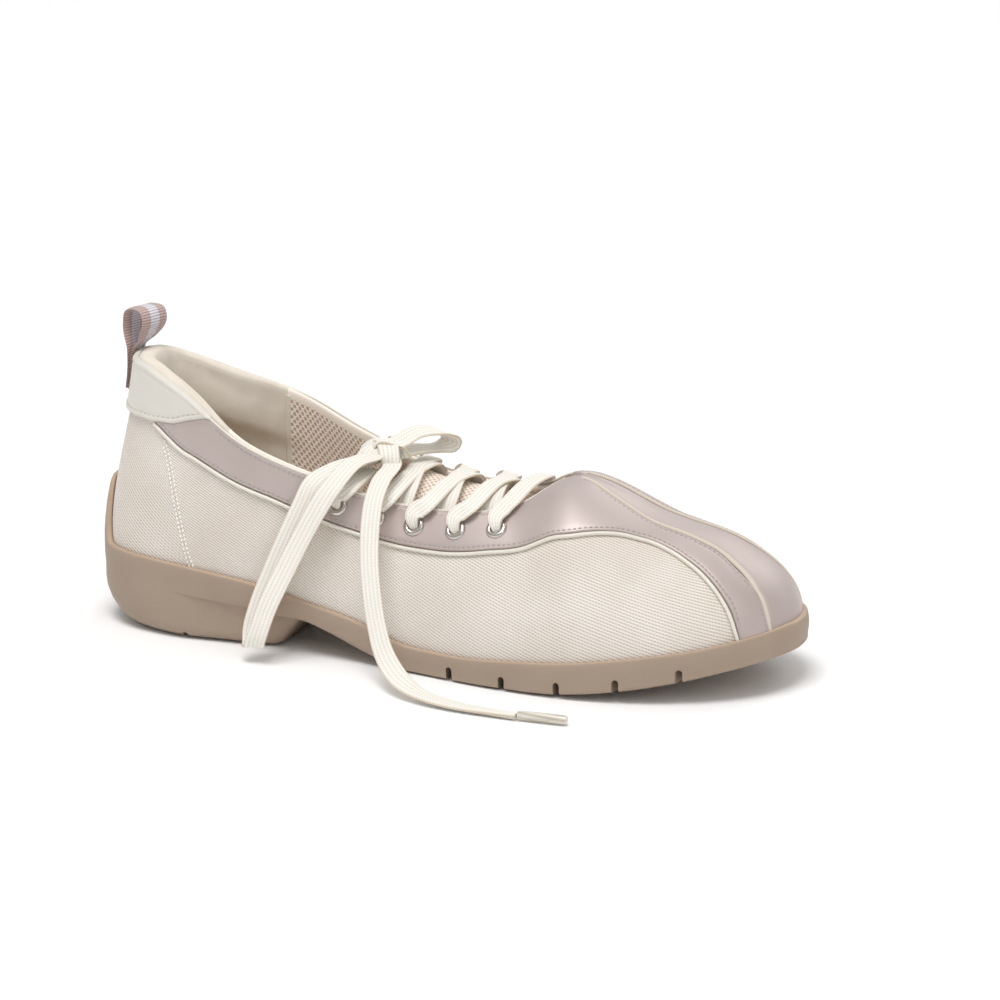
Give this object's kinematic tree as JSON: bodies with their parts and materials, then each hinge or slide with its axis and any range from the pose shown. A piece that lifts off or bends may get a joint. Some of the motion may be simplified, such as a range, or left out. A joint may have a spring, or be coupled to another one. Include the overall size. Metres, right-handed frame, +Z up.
{
  "type": "sneaker",
  "caption": "Low lace-up sneaker for the right foot: mesh upper with satin panels, padded collar, heel pull loop, tied flat lace and a lugged rubber sole.",
  "frame": {"origin": "on the flat of the sole's heel, on the floor plane and the shoe's middle line, 58 mm in front of the back of the sole", "axes": "+X from heel to toe, +Y to the medial (inner) side, +Z up, so the lateral (outer) side is -Y"},
  "size_m": [0.2499, 0.1168, 0.1065],
  "materials": {
    "sole": "matte",
    "mesh": "woven mesh",
    "insole": "matte",
    "net": "net",
    "satin": "satin",
    "piping": "satin",
    "seam_cord": "matte",
    "tab": "smooth",
    "ribbon": "ribbed",
    "eyelet": "nickel",
    "lace": "woven",
    "lace_tip": "clear"
  },
  "bodies": {
    "root": {"sole": "sole", "upper": "mesh", "insole": "insole", "tongue": "net", "toe_band": "satin", "heel_tab": "tab", "pull_loop": "ribbon", "satin_lateral": "satin", "piping_lateral": "piping", "toe_seam_lateral": "seam_cord", "eyelet_lateral_1": "eyelet", "eyelet_lateral_2": "eyelet", "eyelet_lateral_3": "eyelet", "eyelet_lateral_4": "eyelet", "eyelet_lateral_5": "eyelet", "satin_medial": "satin", "piping_medial": "piping", "toe_seam_medial": "seam_cord", "eyelet_medial_1": "eyelet", "eyelet_medial_2": "eyelet", "eyelet_medial_3": "eyelet", "eyelet_medial_4": "eyelet", "eyelet_medial_5": "eyelet", "lace_cross_1": "lace", "lace_cross_2": "lace", "lace_cross_3": "lace", "lace_bar": "lace", "lace_knot": "lace", "lace_lead_lateral": "lace", "lace_lead_medial": "lace", "bow_loop_lateral": "lace", "bow_loop_medial": "lace", "lace_end_lateral": "lace", "lace_tip": "lace_tip"}
  },
  "joints": []
}
